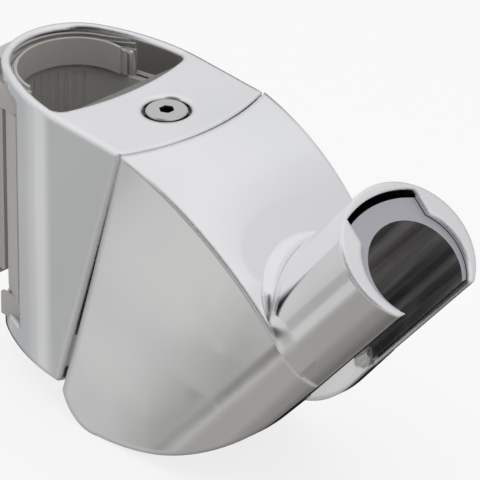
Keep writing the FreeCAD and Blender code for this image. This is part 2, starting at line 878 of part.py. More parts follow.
# Cradle frame: its middle is the mouth's centre, up its axis is out of the mouth,
# and across it, +Y is the pocket's side and -Y the slot's side
cradle_place = Placement(
    Vector(0, -(nose + sized("cradle_reach")).value, (rim - sized("cradle_drop")).value),
    Rotation(Vector(1, 0, 0), sized("cradle_tilt").value),
)


def cradle_outline(name, corners, depth):
    """A closed outline across the cradle's axis, at a depth below its mouth."""
    page = doc.addObject("Sketcher::SketchObject", name)
    down = Placement(Vector(0, 0, -as_size(depth).value), Rotation())
    page.Placement = cradle_place.multiply(down)
    return draw(page, corners)


def cradle_rod(name, radius, length, centre, depth):
    """A cylinder along the cradle's axis, its lower end at a depth below the mouth."""
    solid = doc.addObject("Part::Cylinder", name)
    bind(solid, "Radius", as_size(radius))
    bind(solid, "Height", as_size(length))
    down = Placement(Vector(0, as_size(centre).value, -as_size(depth).value), Rotation())
    solid.Placement = cradle_place.multiply(down)
    return solid


def hood_section(name, depth, radius, bow, inset):
    """A U across the cradle's axis: a half round below and two bowed sides above it."""
    low = as_size(radius) - inset
    half = half_width - inset
    high = sized("hood_side")
    bend = as_size(bow) - inset
    corners = [
        (0, -low, low),
        (low, 0, bend),
        (half, high),
        (-half, high, bend),
        (-low, 0, low),
    ]
    return cradle_outline(name, corners, depth)


def hood_loft(name, first_depth, inset):
    start_radius = sized("tube_radius")
    sections = [
        hood_section(name + "_first", first_depth, start_radius, sized("hood_start_bow"), inset),
        hood_section(
            name + "_middle",
            sized("hood_middle"),
            sized("hood_middle_radius"),
            sized("hood_middle_bow"),
            inset,
        ),
        hood_section(
            name + "_last", sized("hood_end"), sized("hood_end_radius"), sized("hood_end_bow"), inset
        ),
    ]
    loft = doc.addObject("Part::Loft", name)
    loft.Sections = sections
    loft.Solid = True
    loft.Ruled = False
    return loft


def side_prism(name, corners):
    """A side view drawn through the whole width of the holder."""
    reach = half_width + 6
    page = outline(name + "_side", "YZ", corners, -reach)
    return extrude(name, page, reach * 2)


def ridge_form(name, inset):
    """The holder's top: it falls alike in every direction from the seam's centre."""
    slope = sized("ridge_slope")
    fall = sized("ridge_fall")
    bend = sized("ridge_radius")
    start = seam_radius
    low = -(rim + FAR)
    far = start + bend * (sine(fall) - sine(slope))
    drop = bend * (cosine(slope) - cosine(fall))
    end = (far - inset * sine(fall), rim - drop - inset * cosine(fall))
    run = (end[1] - low) / (sine(fall) / cosine(fall))
    corners = [
        (0, low),
        (end[0] + run, low),
        (end[0], end[1], bend - inset),
        (start - inset * sine(slope), rim - inset * cosine(slope)),
        (0, rim - inset * cosine(slope)),
    ]
    return turned(name, corners, (0, seam_radius - nose, 0), upright)


# Holder shell: a chromed casting, a hood that flows into the C-shaped cradle tube
holder_wall = sized("holder_wall")
hood_skin = common(
    "hood_skin",
    hood_loft("hood_form", sized("hood_start"), Size(0)),
    ridge_form("hood_top", Size(0)),
)
hood_hollow = common(
    "hood_hollow",
    hood_loft("hood_hollow_form", sized("hood_start") + holder_wall, holder_wall),
    ridge_form("hood_hollow_top", holder_wall),
)
hood = cut("hood", hood_skin, hood_hollow)

tube_length = sized("tube_length")


def keyway(name, half, shoulder, radius, foot, depth_end):
    """The pocket behind the bore, as a prism along the cradle's axis."""
    page = cradle_outline(
        name + "_plan",
        [(half, 0), (half, shoulder, radius), (-half, shoulder), (-half, 0)],
        depth_end,
    )
    return extrude(name, page, as_size(depth_end) - foot)


bore = cradle_rod(
    "cradle_bore", sized("bore_radius"), tube_length + 2, -sized("bore_drop"), tube_length + 1
)
pocket = keyway(
    "cradle_pocket",
    sized("keyway_half_width"),
    sized("keyway_shoulder"),
    sized("keyway_radius"),
    -1,
    tube_length + 1,
)
tube = cradle_rod("tube_outside", sized("tube_radius"), tube_length, 0, tube_length)

# Bosses for the bracket's screws, cast on the inside of the hood's walls
slope = sine(lean) / cosine(lean)


def seam_depth(height, across):
    """Depth of the body's seam at a height and a distance from the mid-plane."""
    return (
        nose
        - seam_radius
        + root(seam_radius * seam_radius - across * across)
        - (rim - height) * slope
    )


boss_seat = seam_depth(sized("boss_height"), sized("boss_offset")) + sized("bracket_gap") + sized(
    "bracket_thickness"
)
boss = common(
    "bracket_boss",
    fuse(
        "boss_form",
        rod(
            "boss_round",
            sized("boss_radius"),
            sized("boss_length"),
            (sized("boss_offset"), -boss_seat, sized("boss_height")),
            "-Y",
        ),
        block(
            "boss_web",
            (
                sized("boss_offset"),
                -(boss_seat + sized("boss_length")),
                sized("boss_height") - sized("boss_radius"),
            ),
            (
                half_width,
                -boss_seat,
                sized("boss_height") + sized("boss_radius"),
            ),
        ),
    ),
    hood_skin,
)
boss_bore = rod(
    "boss_bore",
    sized("bracket_screw_radius"),
    sized("boss_length"),
    (sized("boss_offset"), -(boss_seat - 1), sized("boss_height")),
    "-Y",
)


def underside(name):
    """Everything under the slot's edges and the belly, as seen from the side."""
    slope_x = cosine(sized("lip_angle"))
    slope_z = sine(sized("lip_angle"))
    run = tube_length + FAR
    lip = (nose + sized("lip_reach"), rim - sized("lip_drop"))
    tip = (lip[0] + run * slope_x, lip[1] + run * slope_z)
    belly = (nose - sized("belly_setback"), -(rim + sized("belly_drop")))
    heel = seam_depth(-rim, Size(0)) - sized("heel_setback")
    low = belly[1] - FAR
    rear = heel - FAR
    corners = [
        (-rear, -rim),
        (-heel, -rim, -sized("heel_radius")),
        (-belly[0], belly[1], -sized("belly_radius")),
        (-lip[0], lip[1]),
        (-tip[0], tip[1]),
        (-(tip[0] + SPARE), tip[1]),
        (-(tip[0] + SPARE), low),
        (-rear, low),
    ]
    return side_prism(name, corners)


holder_lean = lean - sized("seam_opening")
seam_drum = leaning_drum(
    "holder_seam", nose + sized("seam_gap"), seam_radius + sized("seam_gap"), holder_lean
)
holder_form = fuse("holder_form", hood, tube, boss, mirrored("bracket_boss_left", boss))
holder_shell = finish(
    "holder_shell",
    cut(
        "holder_casting",
        holder_form,
        bore,
        pocket,
        seam_drum,
        underside("holder_underside"),
        boss_bore,
        mirrored("boss_bore_left", boss_bore),
    ),
)

# Cradle seat: a C-shaped liner of soft-touch plastic that grips the handset's cone
seat_gap = sized("seat_gap")
seat_length = tube_length - sized("seat_sink") - sized("seat_end_gap")
seat_foot = sized("seat_sink") + seat_length
seat_form = fuse(
    "seat_form",
    cradle_rod(
        "seat_round",
        sized("bore_radius") - seat_gap,
        seat_length,
        -sized("bore_drop"),
        seat_foot,
    ),
    keyway(
        "seat_back_rib",
        sized("keyway_half_width") - seat_gap,
        sized("keyway_shoulder") - sized("seat_back_gap"),
        sized("keyway_radius"),
        sized("seat_sink"),
        seat_foot,
    ),
)
seat_bore = cradle_rod(
    "seat_bore", sized("seat_radius"), seat_length + 2, -sized("seat_drop"), seat_foot + 1
)


def slot_cut(name, edge, foot, head):
    """Opens a liner towards the slot's side, from one depth to another."""
    reach = sized("tube_radius") + 4
    page = cradle_outline(
        name + "_plan",
        [(reach, -reach), (reach, -as_size(edge)), (-reach, -as_size(edge)), (-reach, -reach)],
        foot,
    )
    return extrude(name, page, as_size(foot) - head)


finish(
    "cradle_seat",
    cut(
        "cradle_seat_moulding",
        seat_form,
        seat_bore,
        slot_cut("seat_slot", sized("seat_slot_edge"), seat_foot + 1, Size(0)),
    ),
)

retainer_foot = tube_length + sized("retainer_length")
retainer_ring = cradle_rod(
    "retainer_round",
    sized("bore_radius") + sized("retainer_lap"),
    sized("retainer_length"),
    -sized("bore_drop") + sized("retainer_lap") * 2,
    retainer_foot,
)
retainer_hole = cradle_rod(
    "retainer_hole",
    sized("retainer_radius"),
    sized("retainer_length") + 2,
    -sized("seat_drop"),
    retainer_foot + 1,
)
finish(
    "seat_retainer",
    cut(
        "seat_retainer_moulding",
        retainer_ring,
        retainer_hole,
        slot_cut("retainer_slot", sized("retainer_slot_edge"), retainer_foot + SPARE, tube_length - SPARE),
    ),
)

# Holder bracket: a plate that closes the holder's rear and carries the hinge lugs and the toe
plate_reach = nose + sized("bracket_gap")
plate_box = block(
    "plate_box",
    (-half_width, -(nose + FAR), sized("bracket_foot_rise") - rim),
    (half_width, 0, rim - sized("bracket_head_drop")),
)
plate_inset = holder_wall + sized("plate_gap")
plate_form = common(
    "plate_form",
    common("plate_blank", plate_box, hood_loft("plate_sides", sized("hood_start"), plate_inset)),
    ridge_form("plate_top", plate_inset),
)
plate_front = leaning_drum(
    "plate_front",
    plate_reach + sized("bracket_thickness"),
    seam_radius + sized("bracket_gap") + sized("bracket_thickness"),
    lean,
)
plate_rear = leaning_drum(
    "plate_rear", plate_reach, seam_radius + sized("bracket_gap"), lean
)
plate = cut("bracket_plate", common("plate_slab", plate_form, plate_front), plate_rear)
lug_eye = rod(
    "lug_eye",
    sized("lug_radius"),
    sized("lug_outer") - sized("lug_inner"),
    (sized("lug_inner"), -hinge_depth, hinge_height),
    "X",
)
neck_front = seam_depth(hinge_height, sized("lug_outer")) + sized("bracket_gap") + 1
lug_neck = block(
    "lug_neck_bar",
    (sized("lug_inner"), -neck_front, hinge_height - sized("lug_neck") / 2),
    (sized("lug_outer"), -hinge_depth, hinge_height + sized("lug_neck") / 2),
)
lug = fuse("hinge_lug", lug_eye, lug_neck)
toe_low = sized("toe_height") - sized("toe_thickness") / 2
toe_front = seam_depth(sized("toe_height"), Size(0)) + sized("bracket_gap") + 1.5
toe = block(
    "bracket_toe",
    (-sized("toe_half_width"), -toe_front, toe_low),
    (
        sized("toe_half_width"),
        -(shoe_front + sized("toe_gap")),
        toe_low + sized("toe_thickness"),
    ),
)
lug_bore = rod(
    "lug_bore",
    sized("hinge_radius") + sized("hinge_play"),
    sized("lug_outer") - sized("lug_inner") + 2,
    (sized("lug_inner") - 1, -hinge_depth, hinge_height),
    "X",
)
screw_way = rod(
    "bracket_screw_way",
    sized("bracket_screw_radius"),
    14,
    (sized("boss_offset"), -(boss_seat - 8), sized("boss_height")),
    "-Y",
)
bracket_screw_face = boss_seat - sized("bracket_screw_floor")
boss_room = block(
    "boss_room",
    (
        sized("boss_offset") - sized("boss_radius") - sized("plate_gap"),
        -(boss_seat + sized("boss_length")),
        sized("boss_height") - sized("boss_radius") - sized("plate_gap"),
    ),
    (
        half_width,
        -boss_seat,
        sized("boss_height") + sized("boss_radius") + sized("plate_gap"),
    ),
)
head_way = rod(
    "bracket_head_way",
    sized("bracket_screw_head") + 0.15,
    8,
    (sized("boss_offset"), -(bracket_screw_face - 8), sized("boss_height")),
    "-Y",
)
finish(
    "holder_bracket",
    cut(
        "holder_bracket_moulding",
        fuse("bracket_form", plate, lug, mirrored("hinge_lug_left", lug), toe),
        lug_bore,
        mirrored("lug_bore_left", lug_bore),
        screw_way,
        mirrored("screw_way_left", screw_way),
        head_way,
        mirrored("head_way_left", head_way),
        boss_room,
        mirrored("boss_room_left", boss_room),
    ),
)

# Bracket screws: two small self-tapping screws from the bracket into the casting's bosses
bracket_screw = turned(
    "bracket_screw",
    [
        (0, -sized("bracket_screw_head_height")),
        (sized("bracket_screw_head"), -sized("bracket_screw_head_height")),
        (sized("bracket_screw_head"), 0),
        (sized("bracket_screw_radius"), 0),
        (sized("bracket_screw_radius"), sized("bracket_screw_length") - 1),
        (0, sized("bracket_screw_length")),
    ],
    (sized("boss_offset"), -bracket_screw_face, sized("boss_height")),
    Rotation(Vector(1, 0, 0), 90),
)
finish("bracket_screws", pair("bracket_screw_pair", bracket_screw))


# Release yoke: one moulding that runs round the rail, from the grip to the brake shoe
yoke_head = ring_foot - sized("yoke_gap")
yoke_foot = -yoke_head
arm_inset = wall + sized("arm_gap")
arm_inner = arm_inset + sized("arm_thickness")
arm_end = -(ring_bore + sized("arm_room"))
skin_front = sized("pin_skin_room") - sized("window_side_depth")
arm_zone = block(
    "arm_zone", (-rear_reach, arm_end, yoke_foot), (rear_reach, skin_front + SPARE, yoke_head)
)
arms = common("yoke_arms", plan_prism("arm_skin", arm_inset, yoke_foot, yoke_head), arm_zone)
window_zone = block(
    "window_zone", (-rear_reach, skin_front, yoke_foot), (rear_reach, rear_reach, yoke_head)
)
window_skin = common(
    "window_skin",
    plan_prism("skin_form", sized("skin_inset"), yoke_foot, yoke_head),
    window_zone,
)
pad_radius = ring_bore + sized("pad_gap")
pad_half = sized("pad_half_width")
pad_front = root(pad_radius * pad_radius - pad_half * pad_half)
inside = plan_prism("yoke_inside", arm_inner, yoke_foot - SPARE, yoke_head + SPARE)
pad_zone = block(
    "pad_zone", (-pad_half, pad_front, yoke_foot), (pad_half, rear_reach, yoke_head)
)
yoke_inside = fuse(
    "yoke_room",
    cut("yoke_hollow", inside, pad_zone),
    rod("rail_room", pad_radius, yoke_head - yoke_foot + SPARE * 2, (0, 0, yoke_foot - SPARE)),
)
flutes = []
flute_count = int(sized("flute_count").value)
flute_ring = pad_radius + sized("flute_sink") - sized("flute_radius")
for number in range(flute_count):
    angle = Size(90) + sized("flute_step") * (number - (flute_count - 1) / 2)
    flutes.append(
        rod(
            "flute_%d" % (number + 1),
            sized("flute_radius"),
            yoke_head - yoke_foot - sized("flute_end") * 2,
            (
                flute_ring * cosine(angle),
                flute_ring * sine(angle),
                yoke_foot + sized("flute_end"),
            ),
        )
    )
neck_rear = body_rear + sized("grip_neck_length")
grip_neck = block(
    "grip_neck",
    (-sized("grip_neck_half_width"), pad_radius, yoke_foot),
    (sized("grip_neck_half_width"), neck_rear, yoke_head),
)
pin_depth = (shoe_front + ring_bore) / 2 - sized("lining_thickness")
pin_outer = half_width - arm_inset - sized("arm_thickness") / 2
pin_inner = pin_outer - sized("yoke_pin_length")
yoke_pin_hole = rod(
    "yoke_pin_hole", sized("yoke_pin_radius"), sized("yoke_pin_length"), (pin_inner, -pin_depth, 0), "X"
)
finish(
    "release_yoke",
    cut(
        "release_yoke_moulding",
        fuse("yoke_form", arms, window_skin, grip_neck),
        yoke_inside,
        yoke_pin_hole,
        mirrored("yoke_pin_hole_left", yoke_pin_hole),
        *flutes
    ),
)

# Grip pad: the piece that the thumb presses, with level finger ribs
grip_gap = sized("grip_window_gap")
grip_rear = neck_rear + sized("grip_thickness")
grip_half = sized("grip_half_width")
grip_page = outline(
    "grip_plan",
    "XY",
    [
        (grip_half, neck_rear),
        (grip_half, neck_rear + sized("grip_edge"), sized("grip_radius")),
        (0, grip_rear, sized("grip_radius")),
        (-grip_half, neck_rear + sized("grip_edge")),
        (-grip_half, neck_rear),
    ],
    window_foot + grip_gap,
)
grip_form = extrude("grip_form", grip_page, window_top - window_foot - grip_gap * 2)
ribs = []
rib_count = int(sized("rib_count").value)
for number in range(rib_count):
    ribs.append(
        rod(
            "finger_rib_%d" % (number + 1),
            sized("rib_radius"),
            sized("rib_half_width") * 2,
            (
                -sized("rib_half_width"),
                grip_rear - sized("rib_sink"),
                sized("rib_pitch") * (number - (rib_count - 1) / 2),
            ),
            "X",
        )
    )
finish("grip_pad", fuse("grip_pad_moulding", grip_form, *ribs))

# Brake shoe with its rubber lining, pinned between the yoke's arms
shoe_hollow = ring_bore + sized("lining_thickness")
lining_half = sized("lining_half_width")
shoe_rear = root(shoe_hollow * shoe_hollow - lining_half * lining_half)
shoe_page = outline(
    "shoe_plan",
    "XY",
    [
        (half_width, -shoe_front),
        (half_width, -shoe_rear),
        (lining_half, -shoe_rear, -shoe_hollow),
        (0, -shoe_hollow, -shoe_hollow),
        (-lining_half, -shoe_rear),
        (-half_width, -shoe_rear),
        (-half_width, -shoe_front),
    ],
    sized("shoe_bottom"),
)
shoe_form = common(
    "shoe_form",
    extrude("shoe_slab", shoe_page, sized("shoe_top") - sized("shoe_bottom")),
    plan_prism("shoe_ends", arm_inner + sized("shoe_side_gap"), -rim, rim),
)
shoe_pin_hole = rod(
    "shoe_pin_hole", sized("yoke_pin_radius"), sized("yoke_pin_length"), (pin_inner, -pin_depth, 0), "X"
)
finish(
    "brake_shoe",
    cut(
        "brake_shoe_moulding",
        shoe_form,
        shoe_pin_hole,
        mirrored("shoe_pin_hole_left", shoe_pin_hole),
    ),
)

lining_rear = root(ring_bore * ring_bore - lining_half * lining_half)
lining_page = outline(
    "lining_plan",
    "XY",
    [
        (lining_half, -shoe_rear),
        (lining_half, -lining_rear, -ring_bore),
        (0, -ring_bore, -ring_bore),
        (-lining_half, -lining_rear),
        (-lining_half, -shoe_rear, shoe_hollow),
        (0, -shoe_hollow, shoe_hollow),
    ],
    sized("shoe_bottom") + sized("lining_edge"),
)
lining_height = sized("shoe_top") - sized("shoe_bottom") - sized("lining_edge") * 2
finish("brake_lining", extrude("brake_lining_strip", lining_page, lining_height))

yoke_pin = rod(
    "yoke_pin", sized("yoke_pin_radius"), sized("yoke_pin_length"), (pin_inner, -pin_depth, 0), "X"
)
finish("yoke_pins", pair("yoke_pin_pair", yoke_pin))

doc.recompute()

# Every object has to be sound before any file is written
faults = []
for item in doc.Objects:
    if "Invalid" in item.State or "Error" in item.State:
        faults.append("%s is %s" % (item.Name, ", ".join(item.State)))
for name, piece in parts.items():
    if piece.Shape.isNull() or not piece.Shape.isValid():
        faults.append("%s has no valid shape" % name)
if faults:
    raise RuntimeError("; ".join(faults))

os.makedirs("parts", exist_ok=True)
for name, piece in parts.items():
    piece.Shape.exportStep("parts/%s.step" % name)
    print("%-18s %8.0f mm3, %d solid(s)" % (name, piece.Shape.Volume, len(piece.Shape.Solids)))
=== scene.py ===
import json
import math

import bmesh
import bpy
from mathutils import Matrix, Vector


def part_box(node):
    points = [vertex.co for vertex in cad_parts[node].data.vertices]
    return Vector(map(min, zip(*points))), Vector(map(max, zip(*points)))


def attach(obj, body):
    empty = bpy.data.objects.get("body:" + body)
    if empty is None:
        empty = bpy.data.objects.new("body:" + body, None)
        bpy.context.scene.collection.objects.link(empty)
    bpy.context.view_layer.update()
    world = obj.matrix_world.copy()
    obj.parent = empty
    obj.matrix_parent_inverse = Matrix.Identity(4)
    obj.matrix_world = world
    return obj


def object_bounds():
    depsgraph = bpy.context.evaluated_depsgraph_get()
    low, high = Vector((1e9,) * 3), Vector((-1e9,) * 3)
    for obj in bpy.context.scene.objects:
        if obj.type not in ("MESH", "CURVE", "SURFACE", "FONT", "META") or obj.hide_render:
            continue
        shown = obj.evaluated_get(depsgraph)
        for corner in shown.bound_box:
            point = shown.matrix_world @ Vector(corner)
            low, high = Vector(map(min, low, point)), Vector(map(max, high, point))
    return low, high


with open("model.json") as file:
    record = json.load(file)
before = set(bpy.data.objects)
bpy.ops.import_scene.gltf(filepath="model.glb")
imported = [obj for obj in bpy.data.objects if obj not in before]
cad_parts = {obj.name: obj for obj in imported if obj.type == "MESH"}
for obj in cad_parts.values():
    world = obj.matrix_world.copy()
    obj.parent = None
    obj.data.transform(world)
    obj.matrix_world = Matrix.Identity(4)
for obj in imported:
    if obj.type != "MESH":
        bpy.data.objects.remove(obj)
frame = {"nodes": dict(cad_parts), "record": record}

cad_low, cad_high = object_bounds()
nodes = frame["nodes"]


# Slider body: a zinc die casting that grips the rail, polished and chrome plated.
# The plate is a near mirror, with the faint waves that polishing leaves under it, and its
# sharp edges are rounded by the polishing wheel.
def dress(name, material):
    """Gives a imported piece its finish, and leaves its mesh alone."""
    slots = nodes[name].data.materials
    slots.clear()
    slots.append(material)


def new_finish(name, colour, metallic, roughness):
    """A finish with one shader, ready for its own detail."""
    material = bpy.data.materials.new(name)
    material.use_nodes = True
    shader = material.node_tree.nodes["Principled BSDF"]
    shader.inputs["Base Color"].default_value = colour + (1.0,)
    shader.inputs["Metallic"].default_value = metallic
    shader.inputs["Roughness"].default_value = roughness
    return material


def patches(material, scale, detail=3.0, stretch=(1, 1, 1)):
    """Soft random patches that lie in the piece, as an output between 0 and 1."""
    tree = material.node_tree
    place = tree.nodes.new("ShaderNodeTexCoord")
    mapping = tree.nodes.new("ShaderNodeMapping")
    mapping.inputs["Scale"].default_value = stretch
    noise = tree.nodes.new("ShaderNodeTexNoise")
    noise.inputs["Scale"].default_value = scale
    noise.inputs["Detail"].default_value = detail
    tree.links.new(place.outputs["Object"], mapping.inputs["Vector"])
    tree.links.new(mapping.outputs["Vector"], noise.inputs["Vector"])
    return noise.outputs["Fac"]


def between(material, source, low, high, start=0.3, end=0.7):
    """Turns patches into a value between two limits."""
    spread = material.node_tree.nodes.new("ShaderNodeMapRange")
    spread.inputs["From Min"].default_value = start
    spread.inputs["From Max"].default_value = end
    spread.inputs["To Min"].default_value = low
    spread.inputs["To Max"].default_value = high
    material.node_tree.links.new(source, spread.inputs["Value"])
    return spread.outputs["Result"]


def to_shader(material, source, socket):
    """Feeds an output into one socket of the finish's shader."""
    tree = material.node_tree
    tree.links.new(source, tree.nodes["Principled BSDF"].inputs[socket])


def tint(material, source, first, second):
    """Lets the colour wander between two tones."""
    mix = material.node_tree.nodes.new("ShaderNodeMix")
    mix.data_type = "RGBA"
    mix.inputs["A"].default_value = first + (1.0,)
    mix.inputs["B"].default_value = second + (1.0,)
    material.node_tree.links.new(source, mix.inputs["Factor"])
    to_shader(material, mix.outputs["Result"], "Base Color")
    return mix


def relief(material, source, depth):
    """A real unevenness of the surface, in metres."""
    bump = material.node_tree.nodes.new("ShaderNodeBump")
    bump.inputs["Strength"].default_value = 1.0
    bump.inputs["Distance"].default_value = depth
    material.node_tree.links.new(source, bump.inputs["Height"])
    to_shader(material, bump.outputs["Normal"], "Normal")
    return bump


CHROME_COLOUR = (0.90, 0.90, 0.905)
CLOUDED_CHROME = (0.83, 0.835, 0.845)
POLISHING_WAVE = 0.00001
EDGE_POLISH = 0.0016
EDGE_SAMPLES = 6
chrome = new_finish("chrome_plate", CHROME_COLOUR, 1.0, 0.08)
polish = patches(chrome, 70.0)
to_shader(chrome, between(chrome, polish, 0.05, 0.09), "Roughness")
cloud = patches(chrome, 28.0, 1.0)
tint(chrome, between(chrome, cloud, 0.0, 1.0), CHROME_COLOUR, CLOUDED_CHROME)
wave = relief(chrome, patches(chrome, 24.0, 1.0), POLISHING_WAVE)
rounded_edge = chrome.node_tree.nodes.new("ShaderNodeBevel")
rounded_edge.samples = EDGE_SAMPLES
rounded_edge.inputs["Radius"].default_value = EDGE_POLISH
chrome.node_tree.links.new(rounded_edge.outputs["Normal"], wave.inputs["Normal"])
dress("slider_body", chrome)

# Guide rings: two half rings of light acetal, snapped into the body's ends.
# They are what slides on the rail, so their bore is rubbed smooth.
acetal = new_finish("light_acetal", (0.50, 0.485, 0.455), 0.0, 0.42)
grain = patches(acetal, 900.0, 2.0)
to_shader(acetal, between(acetal, grain, 0.36, 0.5), "Roughness")
tint(acetal, patches(acetal, 60.0), (0.47, 0.455, 0.425), (0.53, 0.515, 0.485))
relief(acetal, grain, 0.00001)
dress("upper_guide_ring", acetal)
dress("lower_guide_ring", acetal)

# Inner carrier: a block of glass-filled nylon pushed up into the body from below.
# It holds the hinge and the springs, and a brass insert for the top screw is set in it.
nylon = new_finish("carrier_nylon", (0.2, 0.198, 0.19), 0.0, 0.5)
fleck = patches(nylon, 700.0, 4.0)
to_shader(nylon, between(nylon, fleck, 0.42, 0.6), "Roughness")
tint(nylon, between(nylon, fleck, 0.0, 1.0), (0.18, 0.178, 0.17), (0.23, 0.226, 0.216))
relief(nylon, fleck, 0.00002)
dress("inner_carrier", nylon)

brass = new_finish("turned_brass", (0.75, 0.58, 0.3), 1.0, 0.28)
lathe = patches(brass, 300.0, 2.0, (1, 1, 12))
to_shader(brass, between(brass, lathe, 0.2, 0.38), "Roughness")
relief(brass, lathe, 0.00001)
dress("screw_insert", brass)

# Top screw: a low-headed stainless screw with a hexagon socket, over a thin washer painted near
# black as the dark reflection round the head.
# Its head is turned flat, which leaves fine rings round the screw's axis. Its socket and the head
# below its top are painted dark as shade.
SCREW_COLOUR = (0.62, 0.61, 0.595)
PAINTED_DARK_COLOUR = (0.05, 0.048, 0.045)
SOCKET_SHADE = 0.0006
TURNED_RINGS = 900.0
RING_DEPTH = 0.000012
washer_low, washer_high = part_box("screw_washer")
screw_middle = (washer_low + washer_high) / 2
head_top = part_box("top_screw")[1][2]
screw_steel = new_finish("turned_steel", SCREW_COLOUR, 1.0, 0.34)
tree = screw_steel.node_tree
place = tree.nodes.new("ShaderNodeTexCoord")
centred = tree.nodes.new("ShaderNodeMapping")
centred.inputs["Location"].default_value = (-screw_middle[0], -screw_middle[1], 0)
rings = tree.nodes.new("ShaderNodeTexWave")
rings.wave_type = "RINGS"
rings.rings_direction = "Z"
rings.inputs["Scale"].default_value = TURNED_RINGS
rings.inputs["Distortion"].default_value = 1.5
tree.links.new(place.outputs["Object"], centred.inputs["Vector"])
tree.links.new(centred.outputs["Vector"], rings.inputs["Vector"])
relief(screw_steel, rings.outputs["Fac"], RING_DEPTH)
to_shader(screw_steel, between(screw_steel, patches(screw_steel, 400.0), 0.28, 0.42), "Roughness")
heights = tree.nodes.new("ShaderNodeSeparateXYZ")
tree.links.new(place.outputs["Object"], heights.inputs["Vector"])
# Painted shade: steel more than a fraction of a millimetre below the head's top is painted near
# black, darkening the socket and the head's sides.
painted_socket_shade = between(
    screw_steel, heights.outputs["Z"], 1.0, 0.0, head_top - SOCKET_SHADE, head_top - SOCKET_SHADE / 3
)
tint(screw_steel, painted_socket_shade, SCREW_COLOUR, PAINTED_DARK_COLOUR)
dress("top_screw", screw_steel)

# Painted dark reflection: the washer's near-black colour stands in for the dark ring that the
# recess's chrome walls show round the screw head.
washer_steel = new_finish("washer_painted_dark", PAINTED_DARK_COLOUR, 0.6, 0.4)
washer_patches = patches(washer_steel, 600.0)
to_shader(washer_steel, between(washer_steel, washer_patches, 0.32, 0.5), "Roughness")
tint(washer_steel, washer_patches, (0.04, 0.038, 0.036), (0.07, 0.067, 0.062))
dress("screw_washer", washer_steel)

# Hinge pins, their washers, the brake springs and the small pins: all stainless steel.
# The springs are bows of rolled strip, and the pins are drawn wire cut to length.
steel = new_finish("stainless_steel", (0.6, 0.59, 0.575), 1.0, 0.32)
brushing = patches(steel, 500.0, 3.0)
to_shader(steel, between(steel, brushing, 0.25, 0.42), "Roughness")
relief(steel, brushing, 0.000008)
for name in ("hinge_pins", "hinge_washers", "brake_springs", "yoke_pins", "bracket_screws"):
    dress(name, steel)

# Holder shell: the other zinc casting, a hood that runs out into the cradle's tube.
# It is plated with the body, so that the two match across the seam.
dress("holder_shell", chrome)

# Tube root: the fillet in which the cradle's tube widens into the hood, widest at the back.
# It is cast with the hood and plated with it. Towards the tube's flanks it narrows to a sharp
# notch at the hood's edge, and below that it is a long shallow ramp into the hood's side.
CRADLE_TILT = math.radians(40.8)
CRADLE_AXIS = Vector((0.0, -math.sin(CRADLE_TILT), math.cos(CRADLE_TILT)))
CRADLE_BACK = Vector((0.0, math.cos(CRADLE_TILT), math.sin(CRADLE_TILT)))
TUBE_RADIUS = 0.0158
MOUNT_DEPTH = 0.02201
BORE_DROP = 0.0038
ROOT_DEPTH = 0.03255
FLANK_DROP = 0.0044
FLANK_START = math.radians(50)
FLANK_END = math.radians(110)
ROOT_FILLET = 0.0042
ROOT_FADE = 1.15
ROOT_SINK = 0.00003
ROOT_WALL = 0.0004
ROOT_GONE = math.radians(124)
RAMP_START = math.radians(64)
RAMP_FULL = math.radians(92)
RAMP_LENGTH = 0.009
RAMP_RISE = 0.00025
ROOT_STEPS = 14
ROOT_SPOKES = 200
QUARTER_TURN = math.radians(90)
SMOOTH_UNDER = math.radians(40)
IN_LINE = 0.99
mounts = {mount["name"]: mount for mount in frame["record"]["mounts"]}
mouth = Vector(mounts["cradle"]["pos_m"]) + CRADLE_AXIS * MOUNT_DEPTH + CRADLE_BACK * BORE_DROP


def eased(share):
    """Rises smoothly from 0 to 1."""
    share = min(max(share, 0.0), 1.0)
    return share * share * (3 - 2 * share)


bpy.ops.object.select_all(action="DESELECT")
bpy.ops.mesh.primitive_cylinder_add(
    vertices=ROOT_SPOKES,
    radius=TUBE_RADIUS,
    depth=ROOT_FILLET,
    end_fill_type="NOTHING",
    location=mouth - CRADLE_AXIS * (ROOT_DEPTH - ROOT_FILLET / 2),
    rotation=(CRADLE_TILT, 0, 0),
)
tube_root = bpy.context.active_object
tube_root.name = "tube_root"
bpy.ops.object.transform_apply(location=True, rotation=True, scale=True)
bpy.ops.object.mode_set(mode="EDIT")
bpy.ops.mesh.select_all(action="DESELECT")
form = bmesh.from_edit_mesh(tube_root.data)
for edge in form.edges:
    run = edge.verts[1].co - edge.verts[0].co
    edge.select = abs(run.normalized().dot(CRADLE_AXIS)) > IN_LINE
bpy.ops.mesh.subdivide(number_cuts=ROOT_STEPS)
bpy.ops.mesh.select_all(action="DESELECT")
for vert in form.verts:
    spoke = vert.co - mouth
    depth = -spoke.dot(CRADLE_AXIS)
    outward = (spoke + CRADLE_AXIS * depth).normalized()
    turn = math.acos(min(max(outward.dot(CRADLE_BACK), -1.0), 1.0))
    share = (depth - ROOT_DEPTH + ROOT_FILLET) / ROOT_FILLET
    sweep = QUARTER_TURN * min(max(share, 0.0), 1.0)
    fillet = ROOT_FILLET * max(math.cos(turn), 0.0) ** ROOT_FADE
    root = ROOT_DEPTH + FLANK_DROP * eased((turn - FLANK_START) / (FLANK_END - FLANK_START))
    ramp = eased((turn - RAMP_START) / (RAMP_FULL - RAMP_START))
    rise = fillet * (1 - math.cos(sweep)) + RAMP_RISE * ramp * eased(share)
    radius = TUBE_RADIUS - ROOT_SINK + rise
    root -= fillet * (1 - math.sin(sweep)) + RAMP_LENGTH * ramp * (1 - share)
    vert.co = mouth - CRADLE_AXIS * root + outward * radius
    vert.select = turn > ROOT_GONE
bmesh.update_edit_mesh(tube_root.data)
bpy.ops.mesh.delete(type="VERT")
bpy.ops.object.mode_set(mode="OBJECT")
